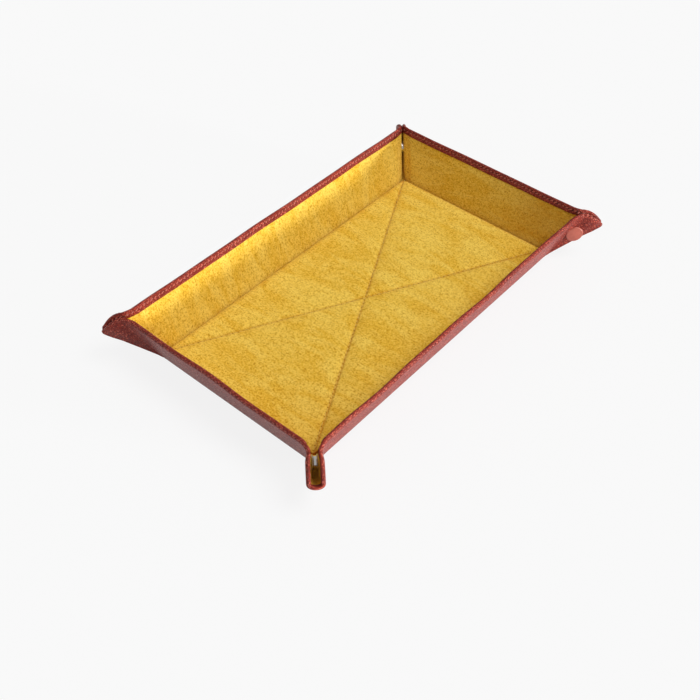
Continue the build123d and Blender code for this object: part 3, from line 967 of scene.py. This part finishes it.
quiltThread = sized(Pitch=3.8, Start=1.9, Length=2.8, Width=0.65, Depth=0.55)
quiltHoles = sized(Pitch=3.8, Length=0.9, Width=0.9, Depth=0.45)
quiltLine = sized(short=2, lift=0.05)


def quiltStitches():
    share = np.linspace(-1, 1, 160)
    paths = []
    for side in (1, -1):
        x, y = share * (padLength - quiltLine["short"]), share * (padWidth - quiltLine["short"]) * side
        paths.append(np.stack([x, y, quiltHeight(x, y) + quiltLine["lift"]], 1))
    beaded("floor_stitches", "base", "suede", yellowThread, paths, Facing=(0, 0, 1), **quiltThread)
    beaded("floor_needle_holes", "base", "suede", quiltHoleShade, paths, Facing=(0, 0, 1), **quiltHoles)


hemStitches()
quiltStitches()
print("stitched")


# Press snaps

snap = sized(along=24.7, fromFold=7.5, cap=6.2, capRise=1.7, dome=0.35, capRound=0.95,
             socket=5, socketTop=2.5, stud=4.8, studTop=0.8)


def rounded(corner, radius, turns):
    # points of a round edge of a turned section, its angles in degrees
    angles = [math.radians(turn) for turn in turns]
    return [(corner[0] + radius * math.cos(a), corner[1] + radius * math.sin(a)) for a in angles]


def turnedPiece(name, centre, axis, profile, material, segments=64):
    # a section of (radius, height) turned about the axis
    side = unit(np.cross(axis, (0.3, 0.2, 1)))
    other = np.cross(axis, side)
    count = len(profile)
    points, faces = [], []
    for i in range(segments):
        angle = 2 * math.pi * i / segments
        spoke = side * math.cos(angle) + other * math.sin(angle)
        points += [centre + spoke * r + axis * z for r, z in profile]
        k = (i + 1) % segments
        for j in range(count - 1):
            faces.append([i * count + j, i * count + j + 1, k * count + j + 1, k * count + j])
    return meshPiece(name, [(np.array(points), faces)], material, closed=False, sharpAt=50)


def snapSections():
    # radius and height above the face that each piece is pressed into
    cap, rise, dome, edge = snap["cap"], snap["capRise"], snap["dome"], snap["capRound"]
    socket, top, stud, low = snap["socket"], snap["socketTop"], snap["stud"], snap["studTop"]
    lip, wall, sunk, brim = 0.3 * mm, 0.5 * mm, 0.75 * mm, range(-60, 91, 25)
    barrel, mouth = socket - 3 * lip, socket * 0.52
    plateRound, pin, pinTop = 4.2 * mm, 1.3 * mm, 2.9 * mm
    return {
        "cap": [(0, rise), (cap * 0.35, rise - dome * 0.1), (cap * 0.62, rise - dome * 0.42),
                *rounded((cap - edge, rise - dome - edge), edge, range(90, -1, -10)),
                (cap, 0), (cap - 0.2 * mm, -sunk), (0, -sunk)],
        "socket": [(0, -lip), (socket - lip, -lip), *rounded((socket - lip, lip * 0.6), lip, brim),
                   (barrel, 2.2 * lip), *rounded((barrel - wall, top - wall), wall, range(0, 91, 15)),
                   *rounded((mouth + wall / 2, top - wall / 2), wall / 2, range(90, 181, 30)),
                   (mouth, 0.9 * mm), (0, 0.9 * mm)],
        "stud": [(0, -lip), (stud - lip, -lip), *rounded((stud - lip, low - lip), lip, brim),
                 (2.1 * mm, low), (2.0 * mm, low + 0.35 * mm),
                 *rounded((1.9 * mm, low + 0.8 * mm), 0.4 * mm, brim), (0, low + 1.35 * mm)],
        "post": [(0, sunk), (plateRound, sunk), (plateRound, 1.15 * mm), (pin, 1.15 * mm), (pin, pinTop),
                 (0, pinTop)],
    }


def snaps():
    sections = snapSections()
    outerFace = sheet["earGap"] / 2 + sheet["earSuede"]
    across, along = snap["fromFold"] / root2, snap["along"] / root2
    for corner in corners:
        half = earHalf(corner, True)
        middle = half["foot"] + half["fold"] * snap["along"] + half["inward"] * snap["fromFold"]
        moved = parting(half, along - across, along + across)
        face, gap = outerFace + moved, sheet["earGap"] / 2 + moved
        seats = {"cap": (face, 1, "_long_ear", enamel, "snap_cap"),
                 "socket": (gap, -1, "_long_ear", nickel, "snap_metal"),
                 "stud": (-gap, 1, "_short_ear", nickel, "snap_metal"),
                 "post": (-face, 1, "_short_ear", nickel, "snap_metal")}
        for word, (stand, way, body, material, slot) in seats.items():
            piece = turnedPiece(corner + "_" + word, middle + half["out"] * stand, half["out"] * way,
                                sections[word], material)
            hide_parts(corner + "_snap_" + word)
            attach(piece, corner + body)


snaps()
for node in frame["nodes"].values():
    node.data.materials.clear()
    node.data.materials.append(wadding)
print("snaps set")


# Stand, light and camera

studio = {"floorShade": (0.94, 0.94, 0.94, 1), "backdrop": 0.947, "flatShare": 0.9, "sky": 0.42,
          "under": 0.1 * mm, "reach": 3.0}
lamps = {  # direction to the light, strength, softness in degrees
    "key": ((0.3, -0.6, 1.15), 1.85, 30),
    "front_fill": ((0.4, -1.0, 0.055), 4.2, 7),
}
white = (1, 1, 1, 1)


def studioFloor():
    data = bpy.data.meshes.new("studio_floor")
    reach, low = studio["reach"], -studio["under"]
    around = [(x * reach, y * reach, low) for x, y in ((-1, -1), (1, -1), (1, 1), (-1, 1))]
    data.from_pydata(around, [], [[0, 1, 2, 3]])
    finish = Finish("pale_floor", Base_Color=studio["floorShade"], Roughness=1.0, Specular_IOR_Level=0.0)
    path = addNode(finish.tree, "ShaderNodeLightPath").outputs
    seen = Value(finish, path["Is Camera Ray"]) + Value(finish, path["Is Glossy Ray"])
    shine = finish.node("ShaderNodeEmission", None, {"Color": white, "Strength": studio["backdrop"]})
    blend = finish.node("ShaderNodeMixShader", None, {
        0: seen * studio["flatShare"], 1: Value(finish, finish.shader.outputs[0]), 2: shine})
    feed(finish.tree, finish.tree.nodes["Material Output"].inputs["Surface"], blend)
    data.materials.append(finish.material)
    linked("studio_floor", data)


def studioLight():
    # past the ground's edge the camera sees the ground's own pale shade
    world = bpy.data.worlds.new("soft_sky")
    world.use_nodes = True
    tree = world.node_tree
    skies = [addNode(tree, "ShaderNodeBackground", None, {"Color": white, "Strength": studio[strength]})
             for strength in ("sky", "backdrop")]
    seen = addNode(tree, "ShaderNodeLightPath").outputs["Is Camera Ray"]
    choose = addNode(tree, "ShaderNodeMixShader", None, {
        0: seen, 1: skies[0].outputs[0], 2: skies[1].outputs[0]})
    feed(tree, tree.nodes["World Output"].inputs["Surface"], choose.outputs[0])
    bpy.context.scene.world = world
    for name, (direction, strength, softness) in lamps.items():
        lamp = bpy.data.lights.new(name, "SUN")
        lamp.energy, lamp.angle = strength, math.radians(softness)
        stand = linked(name, lamp)
        stand.rotation_mode = "QUATERNION"
        stand.rotation_quaternion = Vector(direction).to_track_quat("Z", "Y")


cameraView = {"azimuth": -49.89, "elevation": 45.98, "roll": 0.77, "distance": 669.7 * mm,
              "right": 10.12 * mm, "up": 32.66 * mm, "focal": 979.4, "picture": 700, "sensor": 36}


def photoCamera():
    view = cameraView
    a, e, r = (math.radians(view[key]) for key in ("azimuth", "elevation", "roll"))
    back = Vector((math.sin(a) * math.cos(e), -math.cos(a) * math.cos(e), math.sin(e)))
    level = Vector((0, 0, 1)).cross(back).normalized()
    rise = back.cross(level)
    right = level * math.cos(r) + rise * math.sin(r)
    up = rise * math.cos(r) - level * math.sin(r)
    lens = bpy.data.cameras.new("photo_camera")
    lens.sensor_width = view["sensor"]
    lens.lens = view["focal"] / view["picture"] * view["sensor"]
    lens.clip_start, lens.clip_end = 0.01, 20
    camera = linked("photo_camera", lens)
    turn = Matrix((right, up, back)).transposed().to_4x4()
    place = back * view["distance"] - right * view["right"] - up * view["up"]
    camera.matrix_world = Matrix.Translation(place) @ turn
    bpy.context.scene.camera = camera


studioFloor()
studioLight()
photoCamera()
bpy.context.scene.view_settings.view_transform = "Standard"
